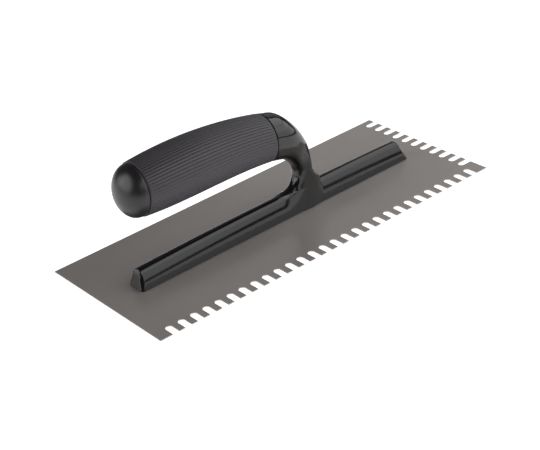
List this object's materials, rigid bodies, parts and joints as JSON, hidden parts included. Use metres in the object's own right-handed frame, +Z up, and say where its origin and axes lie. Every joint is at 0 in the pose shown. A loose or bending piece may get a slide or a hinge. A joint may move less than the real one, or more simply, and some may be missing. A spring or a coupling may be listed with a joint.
{
  "type": "notched trowel",
  "caption": "Notched trowel: thin steel blade with round-bottomed notches along a long edge and a short edge, and a black fluted grip carried on a gooseneck and foot rail.",
  "frame": {"origin": "centre of the blade's flat underside", "axes": "+X along the blade towards its notched short edge, +Z up out of the blade to the grip, so the notched long edge is at -Y and the grip's butt points to -X"},
  "size_m": [0.28, 0.12, 0.0875],
  "materials": {
    "blade_steel": "ground",
    "stud_steel": "turned",
    "shank_plastic": "gloss",
    "sleeve_plastic": "satin, fluted",
    "cap_plastic": "gloss"
  },
  "bodies": {
    "root": {"blade": "blade_steel", "shank": "shank_plastic", "grip_sleeve": "sleeve_plastic", "butt_cap": "cap_plastic", "blade_stud_1": "stud_steel", "blade_stud_2": "stud_steel", "blade_stud_3": "stud_steel", "blade_stud_4": "stud_steel", "blade_stud_5": "stud_steel", "blade_stud_6": "stud_steel", "blade_stud_7": "stud_steel"}
  },
  "joints": []
}
